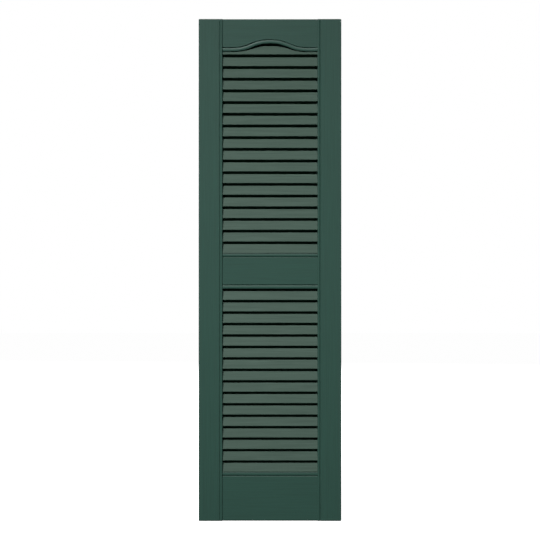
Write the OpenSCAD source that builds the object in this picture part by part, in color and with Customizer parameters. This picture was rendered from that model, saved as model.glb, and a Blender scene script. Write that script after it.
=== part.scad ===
// Louvred shutter panel with a cathedral-top rail and a middle rail, moulded
// in one piece of copolymer: a shell that is open at the back, with every
// louvre, rail and stile in the same wall.
//
// X runs across the panel and Z up it, both from its centre. Y = 0 is the wall
// that the panel is fixed to, and the front faces -Y.

/* [Panel] */
// Overall width
panel_w = 368; // [300:1:480]
// Overall height
panel_h = 1295; // [900:5:1800]
// Depth from the stile faces back to the wall
panel_d = 27; // [24:0.5:40]
// Thickness of the moulded wall
wall = 2.5; // [1.8:0.1:3]

/* [Stiles] */
// Width of each stile, bead included
stile_w = 61; // [45:1:80]
// Radius of the stiles' outer front edges
stile_r = 2.5; // [0.5:0.5:4]
// How far the stiles' inner sides lean into the opening
stile_draft = 1.5; // [0:0.25:1.75]

/* [Rails] */
// Height of the top rail at its shoulders
top_rail_h = 83; // [70:1:120]
// Height of the middle rail
mid_rail_h = 91; // [60:1:130]
// How far the middle rail's centre lies above the panel's
mid_rail_z = -2.4; // [-150:0.2:150]
// Height of the bottom rail
bottom_rail_h = 126; // [60:1:180]
// How far the rails' faces lie behind the stiles' faces
rail_set = 4; // [2:0.5:6]
// Radius of the bottom rail's lower edge
foot_r = 3.5; // [1:0.5:4]

/* [Cathedral arch] */
// Flat shoulder on each side of the arch
arch_shoulder = 28; // [15:1:45]
// Rise of the arch above its shoulders
arch_rise = 20.8; // [10:0.2:26]
// Share of the arch that its crown takes from the reverse curves beside it
crown_share = 0.5; // [0.35:0.01:0.7]

/* [Edge bead] */
// Width of the rounded bead along the rails
rail_bead_w = 7.5; // [5:0.5:10]
// Width of the rounded bead along the stiles
stile_bead_w = 5; // [4:0.5:10]
// Height of the bead's crown above its sides
bead_crown = 0.5; // [0.3:0.1:1]
// Width of the groove beside the bead
groove_w = 3; // [1.5:0.1:4]
// Depth of that groove
groove_d = 2.3; // [1.1:0.1:2.6]
// Height of the crease between a rail and the louvre that stands on it
crease_h = 0.8; // [0.4:0.1:1.2]
// Depth of that crease
crease_d = 2.8; // [1.2:0.1:3]

/* [Louvres] */
// Wanted distance from one louvre to the next
pitch_wanted = 30; // [24:0.5:40]
// Height of the dark slot between two louvres, seen from the front
slot_h = 6.6; // [4:0.2:9]
// How far the louvres' lips lie behind the rails' faces
lip_set = 0.6; // [0.4:0.2:3]
// How far a louvre's face leans back from its lip to its top
louvre_lean = 8; // [4:0.5:10]
// Depth of the return under each lip, behind the louvre's wall
lip_return = 2.3; // [2:0.1:4]
// How far a louvre's rear upstand reaches above the lip in front of it
upstand_lap = 7; // [4:0.5:9]
// Room left between the upstands and the wall
back_room = 4.4; // [2:0.2:8]
// Height of the first louvre that shows below the top rail's shoulders
first_strip = 8.4; // [6:0.2:14]
// Radius of the louvres' lips and top edges
lip_r = 0.9; // [0.3:0.1:1.1]

/* [Ribs] */
// Thickness of the stiffening ribs
rib_t = 2; // [1.5:0.1:3]
// Wanted distance between the cross ribs in a stile
rib_gap_wanted = 108; // [60:1:200]
// Ribs up the back of the louvres
spine_count = 3; // [1:1:5]

/* [Hidden] */

bite = (wall - stile_draft) / 2;  // how far what lies between the stiles runs into their walls
over = 1;           // how far a cutter runs past what it cuts
corner_steps = 3;   // flats in each small rounded corner
bead_steps = 8;     // flats across the bead's crown
groove_side = 0.3;  // share of the groove's width that each of its sides takes
arch_steps = 6;     // chords in each quarter of the arch
crown_steps = 2;    // steps down each side of the arch's bead
return_gap = 7;     // from a rail's lower edge up to its lower wall, past the upstand
inside_r = 0.8;     // radius of the moulded inside corners
return_r = 0.25;    // radius of the corners on top of a lip's return

open_w = panel_w - 2 * stile_w;
top_z = panel_h / 2;
shoulder_z = top_z - top_rail_h;
mid_top_z = mid_rail_z + mid_rail_h / 2;
mid_bottom_z = mid_rail_z - mid_rail_h / 2;
bottom_rail_z = -top_z + bottom_rail_h;

// The louvres fill each opening with a whole number of pitches.
upper_h = shoulder_z - first_strip - mid_top_z;
lower_h = mid_bottom_z - bottom_rail_z;
upper_count = round(upper_h / pitch_wanted);
lower_count = round(lower_h / pitch_wanted);
upper_pitch = upper_h / upper_count;
lower_pitch = lower_h / lower_count;

// The top louvre stops one slot below the crown of the arch, unless that is too low.
top_face_h = max(first_strip + arch_rise - slot_h, 2 * louvre_lean);

// Depths behind the stiles' faces.
rail_back_d = rail_set + wall;
lip_d = rail_set + lip_set;
lip_back_d = lip_d + wall + lip_return;
louvre_top_d = lip_d + louvre_lean;
stand_d = panel_d - back_room - wall;
ledge_rise = 0.6;

// The arch is a crown with a reverse curve on each side that it runs into smoothly.
arch_half = open_w / 2 - arch_shoulder;
arch_radii = (arch_half * arch_half + arch_rise * arch_rise) / (2 * arch_rise);
crown_r = crown_share * arch_radii;
reverse_r = arch_radii - crown_r;
arch_angle = asin(arch_half / arch_radii);
rail_bead_zone = rail_bead_w + groove_w;
stile_bead_zone = stile_bead_w + groove_w;
rail_backing_h = crease_h + rail_bead_zone + wall;
bead_back_d = rail_back_d + groove_d;

/* Points and outlines */

function unit(v) = v / norm(v);

// The points that round corner b of the path a-b-c with radius r.
function corner(a, b, c, r) =
    r <= 0 ? [b] :
    let (
        u = unit(a - b),
        v = unit(c - b),
        half = acos(u * v) / 2,
        middle = b + unit(u + v) * r / sin(half),
        first = b + u * r / tan(half) - middle,
        last = b + v * r / tan(half) - middle,
        from = atan2(first.y, first.x),
        turn = atan2(last.y, last.x) - from,
        sweep = turn > 180 ? turn - 360 : turn < -180 ? turn + 360 : turn
    )
    [for (i = [0 : corner_steps]) middle + r * [
        cos(from + sweep * i / corner_steps),
        sin(from + sweep * i / corner_steps)
    ]];

// An outline from [x, y, corner radius] points.
function rounded(points) =
    let (n = len(points), at = function (i) [points[i % n].x, points[i % n].y])
    [for (i = [0 : n - 1], p = corner(at(i + n - 1), at(i), at(i + 1), points[i].z)) p];

// Radius of the crown of a bead.
function bead_r(width) = (pow(width / 2, 2) + pow(bead_crown, 2)) / (2 * bead_crown);

// Height of a bead's surface below the face, u from the member's edge.
function bead_drop(width, u) =
    bead_r(width) - sqrt(pow(bead_r(width), 2) - pow(u - width / 2, 2));

// Distance from the member's edge at which a bead's surface has that drop.
function bead_edge(width, drop) =
    width / 2 - sqrt(pow(bead_r(width), 2) - pow(bead_r(width) - drop, 2));

// The right half of the top rail's lower edge, from the middle of the crown to
// the stile, [x, z] from its shoulders and moved up by g.
function half_arch(g) =
    concat(
        [for (i = [0 : arch_steps])
            let (a = arch_angle * i / arch_steps)
            [0, arch_rise - crown_r] + (crown_r + g) * [sin(a), cos(a)]],
        [for (i = [arch_steps - 1 : -1 : 0])
            let (a = arch_angle * i / arch_steps)
            [arch_half, reverse_r] - (reverse_r - g) * [sin(a), cos(a)]],
        [[open_w / 2 + bite, g]]
    );

// The whole of that edge, from left to right.
function arch_line(g = 0) =
    let (half = half_arch(g))
    concat([for (i = [len(half) - 1 : -1 : 1]) [-half[i].x, half[i].y]], half);

function backwards(points) = [for (i = [len(points) - 1 : -1 : 0]) points[i]];

// Y of a depth behind the stiles' faces.
function y_at(depth) = depth - panel_d;

/* Directions of extrusion */

// Extrudes a [depth, z] outline across the panel.
module across(width, x = 0) {
    translate([x - width / 2, y_at(0), 0])
        rotate([90, 0, 90])
            linear_extrude(width)
                children();
}

// Extrudes an [x, z] outline backwards, between two depths.
module between(depth_0, depth_1) {
    translate([0, y_at(depth_1), 0])
        rotate([90, 0, 0])
            linear_extrude(depth_1 - depth_0)
                children();
}

/* Edge bead: a groove and a rounded bead, cut into a member's face */

// The cutter's profile: x from the member's edge inwards, y out of its face.
module bead_cutter(width) {
    far_side = width + groove_w;
    polygon(concat(
        [[-over, over]],
        [for (i = [0 : bead_steps])
            let (u = width * (i - 0.5) / bead_steps)
            [i == 0 ? -over : u, -bead_drop(width, u)]],
        [
            [width + groove_w * groove_side, -groove_d],
            [far_side - groove_w * groove_side, -groove_d],
            [far_side + groove_w * groove_side * over / groove_d, over]
        ]
    ));
}

// A band of the top rail along its arched edge, [x, z] from its shoulders.
module arch_band(from, to) {
    polygon(concat(arch_line(from), backwards(arch_line(to))));
}

// The same bead along the arched edge, with its crown in small even steps.
module arch_bead_cut() {
    translate([0, 0, shoulder_z]) {
        for (i = [1 : crown_steps]) {
            drop = bead_crown * (i - 0.5) / crown_steps;
            u = bead_edge(rail_bead_w, drop);
            between(rail_set - over, rail_set + drop) {
                arch_band(-over, u);
                arch_band(rail_bead_w - u, rail_bead_zone - groove_w / 2);
            }
        }
        between(rail_set - over, rail_set + groove_d)
            arch_band(rail_bead_w, rail_bead_zone);
    }
}

/* Stiles */

// The right-hand stile's outline, [x, y], shrunk by inset and run past the wall.
module stile_outline(inset = 0, past = 0) {
    x_in = open_w / 2 + inset;
    x_out = panel_w / 2 - inset;
    front_y = y_at(inset);
    draft = stile_draft * (past - front_y) / panel_d;
    polygon(rounded([
        [x_in, front_y, 0],
        [x_out, front_y, inset > 0 ? inside_r : stile_r],
        [x_out, past, 0],
        [x_in - draft, past, 0]
    ]));
}

module stile_bead_backing() {
    translate([open_w / 2, y_at(0)])
        square([stile_bead_zone + wall, wall + groove_d]);
}

module stile() {
    ribs = round(panel_h / rib_gap_wanted);
    difference() {
        union() {
            translate([0, 0, -top_z])
                linear_extrude(panel_h) {
                    difference() {
                        stile_outline();
                        stile_outline(wall, over);
                    }
                    stile_bead_backing();
                }
            for (z = [-top_z, top_z - wall])
                translate([0, 0, z])
                    linear_extrude(wall)
                        stile_outline();
            for (i = [1 : ribs - 1])
                translate([0, 0, -top_z + panel_h * i / ribs - rib_t / 2])
                    linear_extrude(rib_t)
                        stile_outline(wall / 2);
        }
        translate([open_w / 2, y_at(0), -top_z - over])
            linear_extrude(panel_h + 2 * over)
                mirror([0, 1])
                    bead_cutter(stile_bead_w);
    }
}

/* Rails */

// A box of the shell in [depth, z].
module rail_wall(depth_0, depth_1, z_0, z_1) {
    translate([depth_0, z_0])
        square([depth_1 - depth_0, z_1 - z_0]);
}

module rail_face(z_0, z_1) {
    rail_wall(rail_set, rail_back_d, z_0, z_1);
}

// Crease, bead and groove along a rail's upper edge, on which a louvre stands.
module upper_bead(z) {
    rail_wall(rail_set - over, rail_set + crease_d, z - crease_h, z + over);
    translate([rail_set, z - crease_h])
        mirror([1, 1])
            bead_cutter(rail_bead_w);
}

// Bead and groove along a rail's lower edge.
module lower_bead(z) {
    translate([rail_set, z])
        rotate(90)
            bead_cutter(rail_bead_w);
}

module rail_ribs(z_0, z_1) {
    for (i = [1 : spine_count])
        across(rib_t, open_w * (i / (spine_count + 1) - 0.5))
            rail_wall(rail_set + wall / 2, panel_d, z_0, z_1);
}

module middle_rail() {
    lower_wall_z = mid_bottom_z + upstand_lap + return_gap;
    across(open_w + 2 * bite)
        difference() {
            union() {
                rail_face(mid_bottom_z, mid_top_z);
                rail_wall(rail_set, panel_d, mid_top_z - wall, mid_top_z);
                rail_wall(rail_set, panel_d, lower_wall_z, lower_wall_z + wall);
                rail_wall(rail_set, lip_back_d, mid_bottom_z, mid_bottom_z + wall);
                rail_wall(rail_set, bead_back_d, mid_bottom_z, mid_bottom_z + rail_backing_h);
                rail_wall(rail_set, bead_back_d, mid_top_z - rail_backing_h, mid_top_z);
            }
            upper_bead(mid_top_z);
            lower_bead(mid_bottom_z);
        }
    rail_ribs(lower_wall_z, mid_top_z);
}

module bottom_rail() {
    across(open_w + 2 * bite)
        difference() {
            union() {
                polygon(rounded([
                    [rail_set, bottom_rail_z, 0],
                    [rail_set, -top_z, foot_r],
                    [panel_d, -top_z, 0],
                    [panel_d, -top_z + wall, 0],
                    [rail_back_d, -top_z + wall, inside_r],
                    [rail_back_d, bottom_rail_z, 0]
                ]));
                rail_wall(rail_set, panel_d, bottom_rail_z - wall, bottom_rail_z);
                rail_wall(rail_set, bead_back_d, bottom_rail_z - rail_backing_h, bottom_rail_z);
            }
            upper_bead(bottom_rail_z);
        }
    rail_ribs(-top_z + wall / 2, bottom_rail_z);
}

// The top rail's outline above its arched edge, [x, z] from its shoulders.
module top_rail_outline() {
    end_x = open_w / 2 + bite;
    polygon(concat(arch_line(), [[end_x, top_rail_h], [-end_x, top_rail_h]]));
}

module top_rail() {
    upstand_z = shoulder_z - first_strip + upper_pitch + upstand_lap;
    lower_wall_z = upstand_z + return_gap;
    difference() {
        union() {
            between(rail_set, rail_back_d)
                translate([0, shoulder_z])
                    top_rail_outline();
            between(rail_set, bead_back_d)
                translate([0, shoulder_z])
                    arch_band(0, rail_backing_h);
            between(rail_set, lip_back_d)
                translate([0, shoulder_z])
                    arch_band(0, wall);
        }
        arch_bead_cut();
    }
    across(open_w + 2 * bite) {
        rail_wall(rail_set, panel_d, top_z - wall, top_z);
        rail_wall(rail_set + wall / 2, panel_d, lower_wall_z, lower_wall_z + wall);
    }
    rail_ribs(lower_wall_z, top_z);
}

/* Louvres */

// One louvre, [depth, z] from its lip: a leaning face, a return under its lip,
// a ledge behind its top and an upstand that laps behind the louvre above.
module louvre_outline(pitch, face_h) {
    stand_top = pitch + upstand_lap;
    face_t = wall / cos(atan(louvre_lean / face_h));
    polygon(rounded([
        [lip_d, 0, lip_r],
        [louvre_top_d, face_h, lip_r],
        [stand_d, face_h + ledge_rise, inside_r],
        [stand_d, stand_top, inside_r],
        [stand_d + wall, stand_top, inside_r],
        [stand_d + wall, face_h - wall, inside_r],
        [louvre_top_d + face_t - louvre_lean * wall / face_h, face_h - wall, inside_r],
        [lip_d + face_t + louvre_lean * wall / face_h, wall, return_r],
        [lip_back_d, wall, return_r],
        [lip_back_d, 0, inside_r]
    ]));
}

module louvre(pitch, face_h, z) {
    across(open_w + 2 * bite)
        translate([0, z])
            louvre_outline(pitch, face_h);
}

// Ribs that tie the upstands together, up the back of one opening.
module spines(z_0, z_1) {
    for (i = [1 : spine_count])
        across(rib_t, open_w * (i / (spine_count + 1) - 0.5))
            rail_wall(stand_d + wall / 2, panel_d, z_0, z_1);
}

module louvres() {
    for (i = [0 : upper_count - 1])
        louvre(upper_pitch, upper_pitch - slot_h, mid_top_z + i * upper_pitch);
    louvre(upper_pitch, top_face_h, shoulder_z - first_strip);
    for (i = [0 : lower_count - 1])
        louvre(lower_pitch, lower_pitch - slot_h, bottom_rail_z + i * lower_pitch);
    spines(mid_top_z - wall / 2, top_z - wall / 2);
    spines(bottom_rail_z - wall / 2, mid_bottom_z + upstand_lap + return_gap + wall / 2);
}

module shutter_panel() {
    color("darkslategray") {
        for (side = [0, 1]) mirror([side, 0, 0])
            stile();
        top_rail();
        middle_rail();
        bottom_rail();
        louvres();
    }
}

shutter_panel();
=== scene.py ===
"""The louvred shutter as it looks: a one-piece moulding in grained dark green, on a pale studio floor."""

import logging
import math
from dataclasses import dataclass, replace
from enum import Enum
from typing import NamedTuple, Optional, Sequence

import bmesh
import bpy
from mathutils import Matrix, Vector


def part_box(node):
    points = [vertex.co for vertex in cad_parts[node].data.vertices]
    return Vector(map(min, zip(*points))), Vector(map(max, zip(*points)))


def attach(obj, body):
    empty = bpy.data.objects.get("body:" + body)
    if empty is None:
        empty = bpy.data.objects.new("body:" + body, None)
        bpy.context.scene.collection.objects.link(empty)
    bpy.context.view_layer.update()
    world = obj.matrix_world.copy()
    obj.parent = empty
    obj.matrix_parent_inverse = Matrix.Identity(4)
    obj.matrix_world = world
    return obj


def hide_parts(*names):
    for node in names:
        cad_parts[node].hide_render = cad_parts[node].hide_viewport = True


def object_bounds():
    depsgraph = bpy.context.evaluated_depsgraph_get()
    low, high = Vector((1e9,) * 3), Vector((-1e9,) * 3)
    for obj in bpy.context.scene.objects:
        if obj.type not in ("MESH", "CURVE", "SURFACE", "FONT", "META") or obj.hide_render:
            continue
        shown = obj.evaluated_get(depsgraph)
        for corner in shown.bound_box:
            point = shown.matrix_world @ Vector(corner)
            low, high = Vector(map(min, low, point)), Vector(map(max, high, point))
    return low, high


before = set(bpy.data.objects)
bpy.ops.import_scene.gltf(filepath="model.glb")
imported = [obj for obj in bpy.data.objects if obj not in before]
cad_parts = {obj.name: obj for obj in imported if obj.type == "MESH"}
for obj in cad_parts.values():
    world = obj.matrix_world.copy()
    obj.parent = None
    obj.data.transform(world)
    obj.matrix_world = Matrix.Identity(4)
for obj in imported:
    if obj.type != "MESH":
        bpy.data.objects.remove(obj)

CAD_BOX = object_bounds()
NODE = "shutter_panel"
BODY = "root"
MM = 0.001
SMOOTH_UNDER = math.radians(35)
FLAT_FACE_WEIGHT = 90
FULL_RANGE = (0.0, 1.0)
PORE_SHARE = 0.5
LOG = logging.getLogger("louvred_shutter")

Point = tuple[float, float]
Ring = list[Vector]


class Corner(NamedTuple):
    """A corner of an outline, and the radius that rounds it."""

    x: float
    y: float
    radius: float = 0.0


class EdgeKind(Enum):
    """How a rail's upper or lower edge is finished."""

    BEADED = "beaded"
    FREE = "free"


class Side(Enum):
    """Which side of the panel, as the sign of X."""

    LEFT = -1
    RIGHT = 1


def round_corners(corners: Sequence[Corner], closed: bool = True, steps: int = 5) -> list[Point]:
    """Rounds the corners of an outline.

    Args:
        corners: The outline's corners in order.
        closed: Whether the last corner joins the first. If not, both stay sharp.
        steps: Flats in each rounded corner.

    Returns:
        The rounded outline's points.
    """
    points: list[Point] = []
    count = len(corners)
    for index, corner in enumerate(corners):
        is_end = not closed and index in (0, count - 1)
        if corner.radius <= 0 or is_end:
            points.append((corner.x, corner.y))
            continue
        before, after = corners[index - 1], corners[(index + 1) % count]
        here = Vector((corner.x, corner.y))
        to_before = (Vector((before.x, before.y)) - here).normalized()
        to_after = (Vector((after.x, after.y)) - here).normalized()
        half_angle = to_before.angle(to_after) / 2
        middle = here + (to_before + to_after).normalized() * corner.radius / math.sin(half_angle)
        reach = corner.radius / math.tan(half_angle)
        first = here + to_before * reach - middle
        sweep = first.angle_signed(here + to_after * reach - middle)
        for step in range(steps + 1):
            turn = -sweep * step / steps
            spoke = Vector((
                first.x * math.cos(turn) - first.y * math.sin(turn),
                first.x * math.sin(turn) + first.y * math.cos(turn),
            ))
            points.append(tuple(middle + spoke))
    return points


@dataclass(frozen=True)
class Bead:
    """The rounded bead and its groove, along an edge of a stile or rail, past a crease if it has one."""

    width: float
    crown: float = 0.5 * MM
    groove_width: float = 3 * MM
    groove_depth: float = 2.3 * MM
    groove_side_share: float = 0.3
    crease: float = 0.0
    crease_depth: float = 2.8 * MM
    edge_radius: float = 0.4 * MM
    flats: int = 10

    @property
    def zone(self) -> float:
        """Width of the crease, bead and groove together."""
        return self.crease + self.width + self.groove_width

    def drop(self, distance: float) -> float:
        """How far the bead's surface lies below the face, at a distance from the member's edge."""
        radius = (self.width ** 2 / 4 + self.crown ** 2) / (2 * self.crown)
        return radius - math.sqrt(radius ** 2 - (distance - self.width / 2) ** 2)

    def corners(self) -> list[Corner]:
        """The bead and groove from the member's edge to its face: distance, depth and radius."""
        side = self.groove_side_share * self.groove_width
        start = self.crease
        end = start + self.width
        crown = [
            Corner(start + self.width * i / self.flats, self.drop(self.width * i / self.flats))
            for i in range(1, self.flats)
        ]
        notch = [Corner(0, self.crease_depth), Corner(start, self.crease_depth)] if start else []
        return [
            *notch,
            Corner(start, self.crown, self.edge_radius),
            *crown,
            Corner(end, self.crown, self.edge_radius / 2),
            Corner(end + side, self.groove_depth, self.edge_radius),
            Corner(self.zone - side, self.groove_depth, self.edge_radius),
            Corner(self.zone, 0, self.edge_radius),
        ]


@dataclass(frozen=True)
class PanelSizes:
    """The moulding's sizes in metres: X across it, Y from its front back to the wall, Z up."""

    width: float
    height: float
    depth: float
    wall: float = 2.5 * MM
    stile_width: float = 61 * MM
    stile_draft: float = 1.5 * MM
    top_rail: float = 83 * MM
    middle_rail: float = 91 * MM
    middle_rail_rise: float = -2.4 * MM
    bottom_rail: float = 126 * MM
    rail_set: float = 4 * MM
    arch_shoulder: float = 28 * MM
    arch_rise: float = 20.8 * MM
    first_strip: float = 8.4 * MM
    pitch_wanted: float = 30 * MM
    slot: float = 6.6 * MM
    lip_set: float = 0.6 * MM
    lip_return: float = 2.3 * MM
    louvre_lean: float = 8 * MM
    upstand_lap: float = 7 * MM
    back_room: float = 4.4 * MM
    return_gap: float = 7 * MM
    shy: float = 0.2 * MM
    stile_bead: Bead = Bead(5 * MM)
    rail_bead: Bead = Bead(7.5 * MM)
    creased_bead: Bead = Bead(7.5 * MM, crease=0.8 * MM)
    foot_radius: float = 3.5 * MM

    @classmethod
    def of_frame(cls) -> "PanelSizes":
        """The sizes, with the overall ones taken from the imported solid."""
        low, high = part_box(NODE)
        return cls(width=high[0] - low[0], height=high[2] - low[2], depth=high[1] - low[1])

    @property
    def top(self) -> float:
        """Z of the panel's top end."""
        return self.height / 2

    @property
    def half_opening(self) -> float:
        """Half the width between the stiles."""
        return self.width / 2 - self.stile_width

    @property
    def rail_end(self) -> float:
        """X at which the rails and louvres end, inside the stiles' walls."""
        return self.half_opening + (self.wall - self.stile_draft) / 2

    @property
    def shoulder(self) -> float:
        """Z of the top rail's lower edge at its shoulders."""
        return self.top - self.top_rail

    @property
    def rail_back(self) -> float:
        """Depth of the inside of the rails' faces."""
        return self.rail_set + self.wall

    @property
    def lip_depth(self) -> float:
        """Depth of the louvres' lips."""
        return self.rail_set + self.lip_set

    @property
    def lip_back(self) -> float:
        """Depth of the back of the return under a lip."""
        return self.lip_depth + self.wall + self.lip_return

    @property
    def middle_rail_ends(self) -> Point:
        """Z of the middle rail's lower and upper edges."""
        half = self.middle_rail / 2
        return self.middle_rail_rise - half, self.middle_rail_rise + half

    @property
    def stand_depth(self) -> float:
        """Depth of the louvres' rear upstands."""
        return self.depth - self.back_room - self.wall

    @property
    def upper_field(self) -> tuple[float, float, int]:
        """Foot, pitch and number of the louvres above the middle rail."""
        foot = self.middle_rail_ends[1]
        tall = self.shoulder - self.first_strip - foot
        pitches = round(tall / self.pitch_wanted)
        return foot, tall / pitches, pitches + 1

    @property
    def lower_field(self) -> tuple[float, float, int]:
        """Foot, pitch and number of the louvres below the middle rail."""
        foot = -self.top + self.bottom_rail
        tall = self.middle_rail_ends[0] - foot
        pitches = round(tall / self.pitch_wanted)
        return foot, tall / pitches, pitches

    @property
    def top_face(self) -> float:
        """Height of the top louvre's face, which stops one slot below the crown of the arch."""
        return max(self.first_strip + self.arch_rise - self.slot, 2 * self.louvre_lean)

    def y(self, depth: float) -> float:
        """Y of a depth behind the stiles' faces."""
        return depth - self.depth


@dataclass(frozen=True)
class Arch:
    """The cathedral curve of the top rail's lower edge: a crown and two reverse curves."""

    half_width: float
    rise: float
    crown_share: float = 0.5
    chords: int = 14

    @property
    def radii(self) -> float:
        """The crown's radius and a reverse curve's radius together."""
        return (self.half_width ** 2 + self.rise ** 2) / (2 * self.rise)

    def right_half(self, offset: float, end: float) -> list[Point]:
        """The edge's right half from the crown to the stile.

        Args:
            offset: How far the line is moved up, square to the edge.
            end: X of the rail's end.

        Returns:
            Points as X, and height above the shoulders.
        """
        crown = self.crown_share * self.radii
        reverse = self.radii - crown
        angle = math.asin(self.half_width / self.radii)
        turns = [angle * i / self.chords for i in range(self.chords + 1)]
        line = [
            ((crown + offset) * math.sin(a), self.rise - crown + (crown + offset) * math.cos(a))
            for a in turns
        ]
        line += [
            (self.half_width - (reverse - offset) * math.sin(a), reverse - (reverse - offset) * math.cos(a))
            for a in reversed(turns[:-1])
        ]
        return [*line, (end, offset)]

    def line(self, offset: float, end: float) -> list[Point]:
        """The whole edge from left to right, moved up by offset."""
        half = self.right_half(offset, end)
        return [(-x, z) for x, z in reversed(half[1:])] + half


class Moulding:
    """Closed shells gathered into one mesh, which becomes one shown piece of the panel."""

    def __init__(self, name: str) -> None:
        """Starts an empty mesh for the piece of that name."""
        self.name = name
        self.mesh = bmesh.new()

    def add_sweep(self, rings: Sequence[Ring]) -> None:
        """Adds a closed shell that joins equal rings of points in order and caps its two ends.

        Args:
            rings: The rings, each a closed loop with the same number of points.
        """
        loops = [[self.mesh.verts.new(p) for p in ring] for ring in rings]
        count = len(loops[0])
        for here, there in zip(loops, loops[1:]):
            for i in range(count):
                j = (i + 1) % count
                self.mesh.faces.new((here[i], here[j], there[j], there[i]))
        self.mesh.faces.new(loops[0])
        self.mesh.faces.new(list(reversed(loops[-1])))

    def add_tray(self, outer: Sequence[Ring], inner: Sequence[Ring]) -> None:
        """Adds a tray: an outer and an inner skin, each closed at its ends, joined by a flat rim.

        Args:
            outer: Open rows of points round the outer skin, from one end to the other.
            inner: The same for the inner skin.
        """
        skins = []
        for rows in (outer, inner):
            skin = [[self.mesh.verts.new(p) for p in row] for row in rows]
            for here, there in zip(skin, skin[1:]):
                for i in range(len(here) - 1):
                    self.mesh.faces.new((here[i], here[i + 1], there[i + 1], there[i]))
            self.mesh.faces.new(skin[0])
            self.mesh.faces.new(list(reversed(skin[-1])))
            skins.append(skin)
        wide, narrow = skins
        for side in (0, -1):
            strip = [row[side] for row in wide] + [row[side] for row in reversed(narrow)]
            self.mesh.faces.new(strip)
            end = (wide[side][0], wide[side][-1], narrow[side][-1], narrow[side][0])
            self.mesh.faces.new(end)

    def add_plate(self, low: Sequence[float], high: Sequence[float], along: int, radius: float) -> None:
        """Adds a thin plate whose long edges are rounded.

        Args:
            low: Its lowest corner.
            high: Its highest corner.
            along: The axis that its edges run along, as 0, 1 or 2.
            radius: The radius of the edges.
        """
        first, second = [axis for axis in range(3) if axis != along]
        section = round_corners([
            Corner(low[first], low[second], radius),
            Corner(high[first], low[second], radius),
            Corner(high[first], high[second], radius),
            Corner(low[first], high[second], radius),
        ], steps=3)
        rings = []
        for place in (low[along], high[along]):
            ring = []
            for a, b in section:
                point = [0.0, 0.0, 0.0]
                point[first], point[second], point[along] = a, b, place
                ring.append(Vector(point))
            rings.append(ring)
        self.add_sweep(rings)

    def to_object(self, material: bpy.types.Material) -> bpy.types.Object:
        """Makes the piece, smooth over its rounded edges, and rides it on the panel's body.

        Args:
            material: The finish of all its faces.

        Returns:
            The piece's object.
        """
        bmesh.ops.recalc_face_normals(self.mesh, faces=self.mesh.faces)
        data = bpy.data.meshes.new(self.name)
        self.mesh.to_mesh(data)
        self.mesh.free()
        data.shade_smooth()
        data.set_sharp_from_angle(angle=SMOOTH_UNDER)
        data.materials.append(material)
        piece = bpy.data.objects.new(self.name, data)
        bpy.context.scene.collection.objects.link(piece)
        normals = piece.modifiers.new("flat faces stay flat", "WEIGHTED_NORMAL")
        normals.keep_sharp = True
        normals.weight = FLAT_FACE_WEIGHT
        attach(piece, BODY)
        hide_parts(NODE)
        LOG.info("%s: %d faces", self.name, len(data.polygons))
        return piece


@dataclass
class Stile:
    """One upright side of the panel: a channel with a beaded inner edge, closed at its ends."""

    sizes: PanelSizes
    side: Side
    edge_radius: float = 2.5 * MM
    end_radius: float = 2 * MM
    inside_radius: float = 0.8 * MM
    end_steps: int = 5

    def outer_skin(self, roll: float) -> list[Point]:
        """The outside, X and depth, from the inner rim round the front to the outer rim.

        Args:
            roll: How far the front and outer faces are drawn in, as they are near the ends.

        Returns:
            The skin's points.
        """
        s = self.sizes
        inner_x = s.half_opening
        outer_x = s.width / 2 - roll
        bead = [Corner(inner_x + c.x, c.y + roll, c.radius) for c in s.stile_bead.corners()]
        return round_corners([
            Corner(inner_x - s.stile_draft, s.depth),
            *bead,
            Corner(outer_x, roll, self.edge_radius),
            Corner(outer_x, s.depth),
        ], closed=False)

    def inner_skin(self) -> list[Point]:
        """The inside of the channel, X and depth, from the inner rim to the outer rim."""
        s = self.sizes
        inner_x = s.half_opening + s.wall
        backing_x = inner_x + s.stile_bead.zone
        backing = s.wall + s.stile_bead.groove_depth
        return round_corners([
            Corner(inner_x - s.stile_draft, s.depth),
            Corner(inner_x - s.stile_draft * backing / s.depth, backing, self.inside_radius),
            Corner(backing_x, backing, self.inside_radius / 2),
            Corner(backing_x, s.wall, self.inside_radius / 2),
            Corner(s.width / 2 - s.wall, s.wall, self.inside_radius),
            Corner(s.width / 2 - s.wall, s.depth),
        ], closed=False)

    def row(self, skin: Sequence[Point], z: float) -> Ring:
        """Places a skin's points at a height, on this stile's side."""
        return [Vector((self.side.value * x, self.sizes.y(depth), z)) for x, depth in skin]

    def build(self) -> Moulding:
        """Builds the channel, with its front edges rolled over at both ends."""
        s = self.sizes
        rolls = []
        for step in range(self.end_steps + 1):
            turn = math.pi / 2 * step / self.end_steps
            inward = self.end_radius * (1 - math.sin(turn))
            rolls.append((inward, self.end_radius * (1 - math.cos(turn))))
        outer = [self.row(self.outer_skin(roll), -s.top + inward) for inward, roll in reversed(rolls)]
        outer += [self.row(self.outer_skin(roll), s.top - inward) for inward, roll in rolls]
        inner = [self.row(self.inner_skin(), z) for z in (-s.top + s.wall, s.top - s.wall)]
        moulding = Moulding(f"{self.side.name.lower()}_stile")
        moulding.add_tray(outer, inner)
        return moulding


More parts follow.
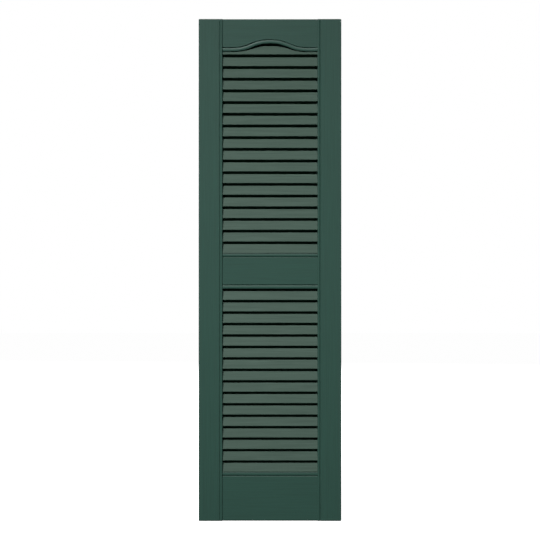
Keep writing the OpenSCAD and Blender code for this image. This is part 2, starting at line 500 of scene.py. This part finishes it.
@dataclass
class Rail:
    """A rail between the stiles: a face with a beaded or a free edge above and below."""

    sizes: PanelSizes
    name: str
    low: float
    high: float
    lower: EdgeKind
    upper: EdgeKind
    arch: Optional[Arch] = None
    head_radius: float = 2.4 * MM
    inside_radius: float = 0.6 * MM
    rim_radius: float = 0.3 * MM

    def front(self) -> list[Corner]:
        """The front from the lower edge to the upper one: height above the lower edge, and depth."""
        s = self.sizes
        tall = self.high - self.low
        foot, head = (
            [Corner(c.x, s.rail_set + c.y, c.radius) for c in bead.corners()]
            for bead in (s.rail_bead, s.creased_bead)
        )
        if self.lower is EdgeKind.FREE:
            foot = [Corner(0, s.rail_set, s.foot_radius)]
        if self.upper is EdgeKind.FREE:
            head = [Corner(0, s.rail_set, self.head_radius)]
        return foot + [Corner(tall - c.x, c.y, c.radius) for c in reversed(head)]

    def back(self) -> list[Corner]:
        """The back from the upper edge down to the lower one."""
        s = self.sizes
        tall = self.high - self.low
        rim = s.depth - s.shy
        band = s.rail_bead.zone + s.wall
        upper_band = s.creased_bead.zone + s.wall
        backing = s.rail_back + s.rail_bead.groove_depth
        inside, edge = self.inside_radius, self.rim_radius
        corners = [Corner(tall, rim, edge), Corner(tall - s.wall, rim, edge)]
        if self.upper is EdgeKind.BEADED:
            corners += [
                Corner(tall - s.wall, backing, inside),
                Corner(tall - upper_band, backing, edge),
                Corner(tall - upper_band, s.rail_back, edge),
            ]
        else:
            corners.append(Corner(tall - s.wall, s.rail_back, inside))
        if self.lower is EdgeKind.BEADED:
            corners += [
                Corner(band, s.rail_back, edge),
                Corner(band, backing, edge),
                Corner(s.wall, backing, inside),
                Corner(s.wall, s.lip_back, edge),
                Corner(0, s.lip_back, edge),
            ]
        else:
            corners += [
                Corner(s.wall, s.rail_back, inside),
                Corner(s.wall, rim, edge),
                Corner(0, rim, edge),
            ]
        return corners

    def rings(self) -> list[Ring]:
        """The rail's section at each station across the opening, following its arch if it has one."""
        s = self.sizes
        section = round_corners(self.front() + self.back())
        if self.arch is None:
            return [
                [Vector((x, s.y(depth), self.low + height)) for height, depth in section]
                for x in (-s.rail_end, s.rail_end)
            ]
        follows = s.rail_bead.zone + s.wall + self.inside_radius
        lines = [self.arch.line(min(height, follows), s.rail_end) for height, _ in section]
        rings = []
        for station in range(len(lines[0])):
            ring = []
            for line, (height, depth) in zip(lines, section):
                x, rise = line[station]
                z = self.low + (rise if height <= follows else height)
                ring.append(Vector((x, s.y(depth), z)))
            rings.append(ring)
        return rings

    def build(self) -> Moulding:
        """Builds the rail."""
        moulding = Moulding(self.name)
        moulding.add_sweep(self.rings())
        return moulding


@dataclass
class LouvreBank:
    """The louvres of one opening, each a leaning face with a lip, a ledge and a rear upstand."""

    sizes: PanelSizes
    name: str
    foot: float
    pitch: float
    count: int
    top_face: Optional[float] = None
    lip_radius: float = 0.9 * MM
    inside_radius: float = 0.8 * MM
    return_radius: float = 0.25 * MM
    ledge_rise: float = 0.6 * MM

    def section(self, face: float) -> list[Point]:
        """One louvre's outline: depth, and height above its lip.

        Args:
            face: Height of the louvre's leaning face.

        Returns:
            The outline's points.
        """
        s = self.sizes
        slope = s.louvre_lean / face
        thick = s.wall * math.hypot(1, slope)
        top_depth = s.lip_depth + s.louvre_lean
        stand_top = self.pitch + s.upstand_lap
        inside = self.inside_radius
        return round_corners([
            Corner(s.lip_depth, 0, self.lip_radius),
            Corner(top_depth, face, self.lip_radius),
            Corner(s.stand_depth, face + self.ledge_rise, inside),
            Corner(s.stand_depth, stand_top, inside),
            Corner(s.stand_depth + s.wall, stand_top, inside),
            Corner(s.stand_depth + s.wall, face - s.wall, inside),
            Corner(top_depth + thick - s.wall * slope, face - s.wall, inside),
            Corner(s.lip_depth + thick + s.wall * slope, s.wall, self.return_radius),
            Corner(s.lip_back, s.wall, self.return_radius),
            Corner(s.lip_back, 0, inside),
        ])

    def build(self) -> Moulding:
        """Builds every louvre of the bank."""
        s = self.sizes
        moulding = Moulding(self.name)
        for index in range(self.count):
            lip = self.foot + index * self.pitch
            is_top = index == self.count - 1
            face = self.top_face if is_top and self.top_face else self.pitch - s.slot
            section = self.section(face)
            moulding.add_sweep([
                [Vector((x, s.y(depth), lip + height)) for depth, height in section]
                for x in (-s.rail_end, s.rail_end)
            ])
        return moulding


@dataclass
class BackRibs:
    """The stiffening ribs and inner walls, which show only from behind."""

    sizes: PanelSizes
    thickness: float = 2 * MM
    radius: float = 0.5 * MM
    rib_gap_wanted: float = 108 * MM
    spines: int = 3
    seat: float = 0.5 * MM

    @property
    def spine_places(self) -> list[float]:
        """X of the ribs behind the rails and louvres."""
        opening = 2 * self.sizes.half_opening
        return [opening * (i / (self.spines + 1) - 0.5) for i in range(1, self.spines + 1)]

    @property
    def walls(self) -> dict[str, float]:
        """Z of the lower face of the wall behind the top rail and behind the middle rail."""
        s = self.sizes
        foot, pitch, count = s.upper_field
        upstand = foot + count * pitch + s.upstand_lap
        return {
            "top": upstand + s.return_gap,
            "middle": s.middle_rail_ends[0] + s.upstand_lap + s.return_gap,
        }

    def build_stile_ribs(self) -> Moulding:
        """Builds the cross ribs inside both stiles."""
        s = self.sizes
        moulding = Moulding("stile_ribs")
        ribs = round(s.height / self.rib_gap_wanted)
        near = s.half_opening + self.seat
        far = s.width / 2 - s.wall + self.seat
        front = s.y(s.wall - self.seat)
        for side in Side:
            low_x, high_x = sorted((side.value * near, side.value * far))
            for i in range(1, ribs):
                z = -s.top + s.height * i / ribs
                moulding.add_plate(
                    (low_x, front, z - self.thickness / 2),
                    (high_x, -s.shy, z + self.thickness / 2),
                    0, self.radius,
                )
        return moulding

    def build_rail_ribs(self) -> Moulding:
        """Builds the ribs behind the rails and the inner walls that close the rails below."""
        s = self.sizes
        moulding = Moulding("rail_ribs")
        walls = self.walls
        spans = [
            (walls["top"], s.top - s.wall / 2),
            (walls["middle"], s.middle_rail_ends[1] - s.wall / 2),
            (-s.top + s.wall / 2, -s.top + s.bottom_rail - s.wall / 2),
        ]
        front = s.y(s.rail_back - self.seat)
        half = self.thickness / 2
        for x in self.spine_places:
            for low, high in spans:
                moulding.add_plate((x - half, front, low), (x + half, -s.shy, high), 2, self.radius)
        for z in walls.values():
            low = (-s.rail_end, front, z)
            moulding.add_plate(low, (s.rail_end, -s.shy, z + s.wall), 0, self.radius)
        return moulding

    def build_spines(self) -> Moulding:
        """Builds the ribs that tie the louvres' upstands together."""
        s = self.sizes
        moulding = Moulding("louvre_spines")
        front = s.y(s.stand_depth + s.wall - self.seat)
        walls = self.walls
        spans = [
            (s.middle_rail_ends[1] - s.wall / 2, walls["top"] + s.wall / 2),
            (-s.top + s.bottom_rail - s.wall / 2, walls["middle"] + s.wall / 2),
        ]
        half = self.thickness / 2
        for x in self.spine_places:
            for low, high in spans:
                moulding.add_plate((x - half, front, low), (x + half, -s.shy, high), 2, self.radius)
        return moulding


class GroupMaker:
    """Builds one shader node group with named inputs and outputs."""

    def __init__(self, name: str) -> None:
        """Starts an empty group of that name."""
        self.tree = bpy.data.node_groups.new(name, "ShaderNodeTree")
        self.source = self.tree.nodes.new("NodeGroupInput")
        self.sink = self.tree.nodes.new("NodeGroupOutput")

    def add_input(self, name: str, kind: str, value: object = None) -> None:
        """Adds an input socket of a kind such as Float, with a starting value if given."""
        socket = self.tree.interface.new_socket(name, in_out="INPUT", socket_type=f"NodeSocket{kind}")
        if value is not None:
            socket.default_value = value

    def add_output(self, name: str, kind: str) -> None:
        """Adds an output socket of a kind such as Color."""
        self.tree.interface.new_socket(name, in_out="OUTPUT", socket_type=f"NodeSocket{kind}")

    def node(self, kind: str, **settings: object) -> bpy.types.Node:
        """Adds a node and sets its properties."""
        return add_node(self.tree, kind, **settings)

    def link(self, start: bpy.types.NodeSocket, end: bpy.types.NodeSocket) -> None:
        """Links two sockets."""
        self.tree.links.new(start, end)

    def math(self, operation: str, first: object, second: object = None) -> bpy.types.NodeSocket:
        """Adds a Math node fed by sockets or numbers.

        Args:
            operation: The node's operation, such as MULTIPLY.
            first: A socket or a number.
            second: A socket or a number, for operations that take two.

        Returns:
            The node's output.
        """
        return add_math(self.tree, operation, first, second)


def add_node(tree: bpy.types.NodeTree, kind: str, **settings: object) -> bpy.types.Node:
    """Adds a node to a tree and sets its properties."""
    node = tree.nodes.new(f"ShaderNode{kind}")
    for name, value in settings.items():
        setattr(node, name, value)
    return node


def feed(tree: bpy.types.NodeTree, socket: bpy.types.NodeSocket, value: object) -> None:
    """Links a socket to an input, or sets the input to a plain value."""
    if isinstance(value, bpy.types.NodeSocket):
        tree.links.new(value, socket)
    elif value is not None:
        socket.default_value = value


def add_math(
    tree: bpy.types.NodeTree, operation: str, first: object, second: object = None
) -> bpy.types.NodeSocket:
    """Adds a Math node fed by sockets or numbers, and returns its output."""
    node = add_node(tree, "Math", operation=operation)
    feed(tree, node.inputs[0], first)
    feed(tree, node.inputs[1], second)
    return node.outputs[0]


def add_range(
    tree: bpy.types.NodeTree, value: object, source: tuple[float, float], target: tuple[float, float]
) -> bpy.types.NodeSocket:
    """Adds a clamped Map Range node from one span of numbers to another, and returns its output."""
    node = add_node(tree, "MapRange")
    numbers = (value, *source, *target)
    for socket, number in zip(node.inputs, numbers):
        feed(tree, socket, number)
    return node.outputs["Result"]


def add_noise(
    tree: bpy.types.NodeTree, vector: object, scale: object, detail: float, rough: float, twist: float = 0.0
) -> bpy.types.NodeSocket:
    """Adds a Noise node and returns its value."""
    node = add_node(tree, "TexNoise")
    feed(tree, node.inputs["Vector"], vector)
    feed(tree, node.inputs["Scale"], scale)
    node.inputs["Detail"].default_value = detail
    node.inputs["Roughness"].default_value = rough
    node.inputs["Distortion"].default_value = twist
    return node.outputs["Fac"]


def make_grain_group() -> bpy.types.NodeTree:
    """Makes the moulded wood grain: long wavering ridges with fine pores, run along one axis.

    Returns:
        The group. Stretch is how often the grain repeats along each axis, per metre.
    """
    group = GroupMaker("Moulded grain")
    group.add_input("Coordinates", "Vector")
    group.add_input("Stretch", "Vector")
    group.add_output("Height", "Float")
    group.add_output("Streaks", "Float")
    scaled = group.node("VectorMath", operation="MULTIPLY")
    group.link(group.source.outputs["Coordinates"], scaled.inputs[0])
    group.link(group.source.outputs["Stretch"], scaled.inputs[1])
    stretched = scaled.outputs["Vector"]
    ridges = add_noise(group.tree, stretched, scale=1.0, detail=5.0, rough=0.55, twist=0.6)
    pores = add_noise(group.tree, stretched, scale=3.4, detail=2.0, rough=0.5)
    ridge_height = add_range(group.tree, ridges, (0.3, 0.7), FULL_RANGE)
    pore_depth = add_range(group.tree, pores, (0.56, 0.7), FULL_RANGE)
    height = group.math("SUBTRACT", ridge_height, group.math("MULTIPLY", pore_depth, PORE_SHARE))
    group.link(height, group.sink.inputs["Height"])
    group.link(ridge_height, group.sink.inputs["Streaks"])
    return group.tree


def make_drift_group() -> bpy.types.NodeTree:
    """Makes the slow drift of colour through a large moulding, as a factor near one.

    Returns:
        The group. Amount is how far the factor strays from one.
    """
    group = GroupMaker("Colour drift")
    group.add_input("Coordinates", "Vector")
    group.add_input("Scale", "Float", 6.0)
    group.add_input("Amount", "Float", 0.06)
    group.add_output("Factor", "Float")
    inputs = group.source.outputs
    clouds = add_noise(group.tree, inputs["Coordinates"], inputs["Scale"], detail=3.0, rough=0.55)
    noise_mean = 0.5
    centred = group.math("SUBTRACT", clouds, noise_mean)
    strayed = group.math("MULTIPLY", centred, inputs["Amount"])
    factor = group.math("ADD", group.math("MULTIPLY", strayed, 1 / noise_mean), 1.0)
    group.link(factor, group.sink.inputs["Factor"])
    return group.tree


def make_wear_group() -> bpy.types.NodeTree:
    """Makes the rubbed edges: a mask that is one on sharp outer edges and broken up by noise.

    Returns:
        The group. Radius is how far the wear reaches from an edge, in metres.
    """
    group = GroupMaker("Rubbed edges")
    group.add_input("Coordinates", "Vector")
    group.add_input("Radius", "Float", 1.2 * MM)
    group.add_output("Mask", "Float")
    inputs = group.source.outputs
    bevel = group.node("Bevel", samples=4)
    group.link(inputs["Radius"], bevel.inputs["Radius"])
    shape = group.node("NewGeometry")
    facing = group.node("VectorMath", operation="DOT_PRODUCT")
    group.link(bevel.outputs["Normal"], facing.inputs[0])
    group.link(shape.outputs["Normal"], facing.inputs[1])
    edge = add_range(group.tree, facing.outputs["Value"], (0.99, 0.88), FULL_RANGE)
    patches = add_noise(group.tree, inputs["Coordinates"], scale=90.0, detail=3.0, rough=0.6)
    broken = add_range(group.tree, patches, (0.35, 0.65), (0.25, 1.0))
    group.link(group.math("MULTIPLY", edge, broken), group.sink.inputs["Mask"])
    return group.tree


def make_dust_group() -> bpy.types.NodeTree:
    """Makes the dust that settles on upward faces, as a mask.

    Returns:
        The group. Amount is the most that the mask reaches.
    """
    group = GroupMaker("Settled dust")
    group.add_input("Coordinates", "Vector")
    group.add_input("Amount", "Float", 0.3)
    group.add_output("Mask", "Float")
    inputs = group.source.outputs
    shape = group.node("NewGeometry")
    parts = group.node("SeparateXYZ")
    group.link(shape.outputs["Normal"], parts.inputs[0])
    upward = add_range(group.tree, parts.outputs["Z"], (0.15, 0.95), FULL_RANGE)
    patches = add_noise(group.tree, inputs["Coordinates"], scale=45.0, detail=5.0, rough=0.6)
    broken = add_range(group.tree, patches, (0.3, 0.7), (0.4, 1.0))
    mask = group.math("MULTIPLY", group.math("MULTIPLY", upward, broken), inputs["Amount"])
    group.link(mask, group.sink.inputs["Mask"])
    return group.tree


@dataclass(frozen=True)
class SharedEffects:
    """The node groups that every finish of the panel uses."""

    grain: bpy.types.NodeTree
    drift: bpy.types.NodeTree
    wear: bpy.types.NodeTree
    dust: bpy.types.NodeTree

    @classmethod
    def build(cls) -> "SharedEffects":
        """Builds each group once."""
        return cls(make_grain_group(), make_drift_group(), make_wear_group(), make_dust_group())


@dataclass(frozen=True)
class GreenFinish:
    """The moulded-through green of one kind of member, with the grain run along it."""

    name: str
    colour: tuple[float, float, float] = (0.0272, 0.0780, 0.0596)
    rubbed: tuple[float, float, float] = (0.045, 0.095, 0.078)
    dusty: tuple[float, float, float] = (0.16, 0.17, 0.155)
    stretch: tuple[float, float, float] = (420.0, 420.0, 9.0)
    grain_depth: float = 0.10 * MM
    grain_strength: float = 0.35
    streak_amount: float = 0.10
    roughness: float = 0.46
    hollow_roughness: float = 0.05
    ridge_gloss: float = 0.03
    rubbed_gloss: float = 0.06
    dust_roughness: float = 0.4
    specular: float = 0.3
    dust_amount: float = 0.25

    def place(
        self, tree: bpy.types.NodeTree, group: bpy.types.NodeTree, place: object, **values: object
    ) -> bpy.types.Node:
        """Places a shared group in the material with its own values.

        Args:
            tree: The material's tree.
            group: The shared group.
            place: The socket that gives it coordinates.
            values: Its other inputs by name, with spaces as underscores.

        Returns:
            The group's node.
        """
        node = tree.nodes.new("ShaderNodeGroup")
        node.node_tree = group
        feed(tree, node.inputs["Coordinates"], place)
        for name, value in values.items():
            feed(tree, node.inputs[name.replace("_", " ")], value)
        return node

    def tint(
        self, tree: bpy.types.NodeTree, factor: object, base: object, tint: object
    ) -> bpy.types.NodeSocket:
        """Mixes two colours and returns the result's socket."""
        mix = add_node(tree, "Mix", data_type="RGBA")
        feed(tree, mix.inputs[0], factor)
        feed(tree, mix.inputs[6], base)
        feed(tree, mix.inputs[7], tint)
        return mix.outputs[2]

    def make(self, effects: SharedEffects) -> bpy.types.Material:
        """Makes the material.

        Args:
            effects: The shared node groups.

        Returns:
            The material.
        """
        material = bpy.data.materials.new(self.name)
        material.use_nodes = True
        tree = material.node_tree
        shader = tree.nodes["Principled BSDF"]
        place = add_node(tree, "TexCoord").outputs["Object"]
        grain = self.place(tree, effects.grain, place, Stretch=self.stretch)
        drift = self.place(tree, effects.drift, place)
        wear = self.place(tree, effects.wear, place)
        dust = self.place(tree, effects.dust, place, Amount=self.dust_amount)
        streak_span = (1 - self.streak_amount, 1 + self.streak_amount)
        streaks = add_range(tree, grain.outputs["Streaks"], FULL_RANGE, streak_span)
        shade = add_math(tree, "MULTIPLY", drift.outputs["Factor"], streaks)
        green = add_node(tree, "VectorMath", operation="SCALE")
        green.inputs[0].default_value = self.colour
        feed(tree, green.inputs["Scale"], shade)
        rubbed = self.tint(tree, wear.outputs["Mask"], green.outputs[0], (*self.rubbed, 1))
        finished = self.tint(tree, dust.outputs["Mask"], rubbed, (*self.dusty, 1))
        feed(tree, shader.inputs["Base Color"], finished)
        satin_span = (self.roughness + self.hollow_roughness, self.roughness - self.ridge_gloss)
        satin = add_range(tree, grain.outputs["Height"], FULL_RANGE, satin_span)
        worn = add_math(tree, "MULTIPLY", wear.outputs["Mask"], -self.rubbed_gloss)
        dulled = add_math(tree, "MULTIPLY", dust.outputs["Mask"], self.dust_roughness)
        rough = add_math(tree, "ADD", add_math(tree, "ADD", satin, worn), dulled)
        feed(tree, shader.inputs["Roughness"], rough)
        shader.inputs["Specular IOR Level"].default_value = self.specular
        bump = add_node(tree, "Bump")
        bump.inputs["Strength"].default_value = self.grain_strength
        bump.inputs["Distance"].default_value = self.grain_depth
        feed(tree, bump.inputs["Height"], grain.outputs["Height"])
        feed(tree, shader.inputs["Normal"], bump.outputs["Normal"])
        return material


class Panel:
    """The whole shutter: its members in order, each dressed in the finish of its kind."""

    def __init__(self, sizes: PanelSizes, effects: SharedEffects) -> None:
        """Keeps the sizes and makes the finishes."""
        upright = GreenFinish("upright grain green")
        level = replace(upright, name="level grain green", stretch=(9.0, 420.0, 420.0))
        # The louvres' green is warmer than the other members' only as painted warm sheen. It stands in for
        # the warm light that the upward-leaning louvre faces reflect, not for a different moulded colour.
        louvre = replace(
            level,
            name="louvre green with painted warm sheen",
            colour=(0.0350, 0.0745, 0.0540),
            streak_amount=0.14,
            roughness=0.52,
            specular=0.16,
        )
        ribs = replace(upright, name="rib green", grain_strength=0.1, roughness=0.52, dust_amount=0.4)
        self.sizes = sizes
        self.upright = upright.make(effects)
        self.level = level.make(effects)
        self.louvre = louvre.make(effects)
        self.ribs = ribs.make(effects)

    def build_stiles(self) -> None:
        """Builds both stiles."""
        for side in Side:
            Stile(self.sizes, side).build().to_object(self.upright)

    def build_rails(self) -> None:
        """Builds the arched top rail, the middle rail and the bottom rail."""
        s = self.sizes
        beaded, free = EdgeKind.BEADED, EdgeKind.FREE
        arch = Arch(s.half_opening - s.arch_shoulder, s.arch_rise)
        rails = [
            Rail(s, "top_rail", s.shoulder, s.top, beaded, free, arch),
            Rail(s, "middle_rail", *s.middle_rail_ends, beaded, beaded),
            Rail(s, "bottom_rail", -s.top, -s.top + s.bottom_rail, free, beaded),
        ]
        for rail in rails:
            rail.build().to_object(self.level)

    def build_louvres(self) -> None:
        """Builds the louvres above and below the middle rail."""
        s = self.sizes
        banks = [
            LouvreBank(s, "upper_louvres", *s.upper_field, s.top_face),
            LouvreBank(s, "lower_louvres", *s.lower_field),
        ]
        for bank in banks:
            bank.build().to_object(self.louvre)

    def build_back(self) -> None:
        """Builds the ribs behind the stiles, rails and louvres."""
        ribs = BackRibs(self.sizes)
        for moulding in (ribs.build_stile_ribs(), ribs.build_rail_ribs(), ribs.build_spines()):
            moulding.to_object(self.ribs)

    def build(self) -> None:
        """Builds the panel's members in order."""
        self.build_stiles()
        self.build_rails()
        self.build_louvres()
        self.build_back()


@dataclass(frozen=True)
class SoftLight:
    """A white rectangular studio light, aimed at a point, with its spread in degrees."""

    name: str
    place: tuple[float, float, float]
    size: tuple[float, float]
    watts: float
    aim: tuple[float, float, float] = (0.0, 0.0, 0.0)
    spread: float = 180.0

    def build(self) -> None:
        """Adds the light to the scene."""
        lamp = bpy.data.lights.new(self.name, "AREA")
        lamp.shape = "RECTANGLE"
        lamp.size, lamp.size_y = self.size
        lamp.energy = self.watts
        lamp.spread = math.radians(self.spread)
        light = bpy.data.objects.new(self.name, lamp)
        light.location = self.place
        direction = Vector(self.aim) - Vector(self.place)
        light.rotation_euler = direction.to_track_quat("-Z", "Y").to_euler()
        bpy.context.scene.collection.objects.link(light)


@dataclass(frozen=True)
class Studio:
    """The pale floor, the white surround, the soft lights and the camera."""

    sizes: PanelSizes
    floor_size: float = 30.0
    floor_roughness: float = 0.9
    floor_specular: float = 0.1
    camera_distance: float = 5.0
    share_of_frame: float = 0.93
    sensor: float = 36.0
    surround: float = 0.018
    floor_white: float = 0.5
    floor_glow: float = 0.98

    def build_floor(self) -> None:
        """Lays the floor at the panel's foot. It glows to the camera, so that it stays pale."""
        low_z = CAD_BOX[0][2]
        half = self.floor_size / 2
        data = bpy.data.meshes.new("studio_floor")
        corners = [(x, y, low_z) for x, y in ((-half, -half), (half, -half), (half, half), (-half, half))]
        data.from_pydata(corners, [], [(0, 1, 2, 3)])
        material = bpy.data.materials.new("pale floor")
        material.use_nodes = True
        tree = material.node_tree
        shader = tree.nodes["Principled BSDF"]
        shader.inputs["Base Color"].default_value = (self.floor_white,) * 3 + (1,)
        shader.inputs["Roughness"].default_value = self.floor_roughness
        shader.inputs["Specular IOR Level"].default_value = self.floor_specular
        shader.inputs["Emission Color"].default_value = (1, 1, 1, 1)
        seen = add_node(tree, "LightPath").outputs["Is Camera Ray"]
        glow = add_math(tree, "MULTIPLY", seen, self.floor_glow)
        feed(tree, shader.inputs["Emission Strength"], glow)
        data.materials.append(material)
        floor = bpy.data.objects.new("studio_floor", data)
        floor.visible_diffuse = False
        floor.visible_glossy = False
        bpy.context.scene.collection.objects.link(floor)

    def build_surround(self) -> None:
        """Makes the white surround, which the camera sees as white and which lights the panel less."""
        world = bpy.data.worlds.new("white surround")
        world.use_nodes = True
        tree = world.node_tree
        background = tree.nodes["Background"]
        background.inputs["Color"].default_value = (1, 1, 1, 1)
        seen = add_node(tree, "LightPath").outputs["Is Camera Ray"]
        strength = add_range(tree, seen, FULL_RANGE, (self.surround, 1.0))
        feed(tree, background.inputs["Strength"], strength)
        bpy.context.scene.world = world

    def build_lights(self) -> None:
        """Adds the key light from the upper front and two soft lights behind the panel."""
        lights = [
            SoftLight("key light", (-1.9, -7.1, 5.8), (2.4, 1.6), 22.5, aim=(-0.1, 0, -0.14), spread=22),
            SoftLight("back light", (1.2, 7.2, 2.6), (2.4, 2.4), 420),
            SoftLight("back fill", (-1.8, 6.0, 0.9), (2.4, 2.4), 150),
        ]
        for light in lights:
            light.build()

    def build_camera(self) -> None:
        """Places the camera square to the panel's front, at the height of its middle."""
        camera = bpy.data.cameras.new("camera")
        camera.sensor_width = self.sensor
        camera.lens = self.sensor * self.share_of_frame * self.camera_distance / self.sizes.height
        holder = bpy.data.objects.new("camera", camera)
        holder.location = (0, self.sizes.y(0) - self.camera_distance, 0)
        holder.rotation_euler = (math.pi / 2, 0, 0)
        bpy.context.scene.collection.objects.link(holder)
        bpy.context.scene.camera = holder

    def build(self) -> None:
        """Builds the studio."""
        self.build_floor()
        self.build_surround()
        self.build_lights()
        self.build_camera()
        view = bpy.context.scene.view_settings
        view.view_transform = "Standard"
        view.look = "None"


def main() -> None:
    """Builds the studio and the panel, and reports each piece."""
    logging.basicConfig(level=logging.INFO, format="%(name)s: %(message)s")
    sizes = PanelSizes.of_frame()
    Studio(sizes).build()
    Panel(sizes, SharedEffects.build()).build()


if __name__ == "__main__":
    main()
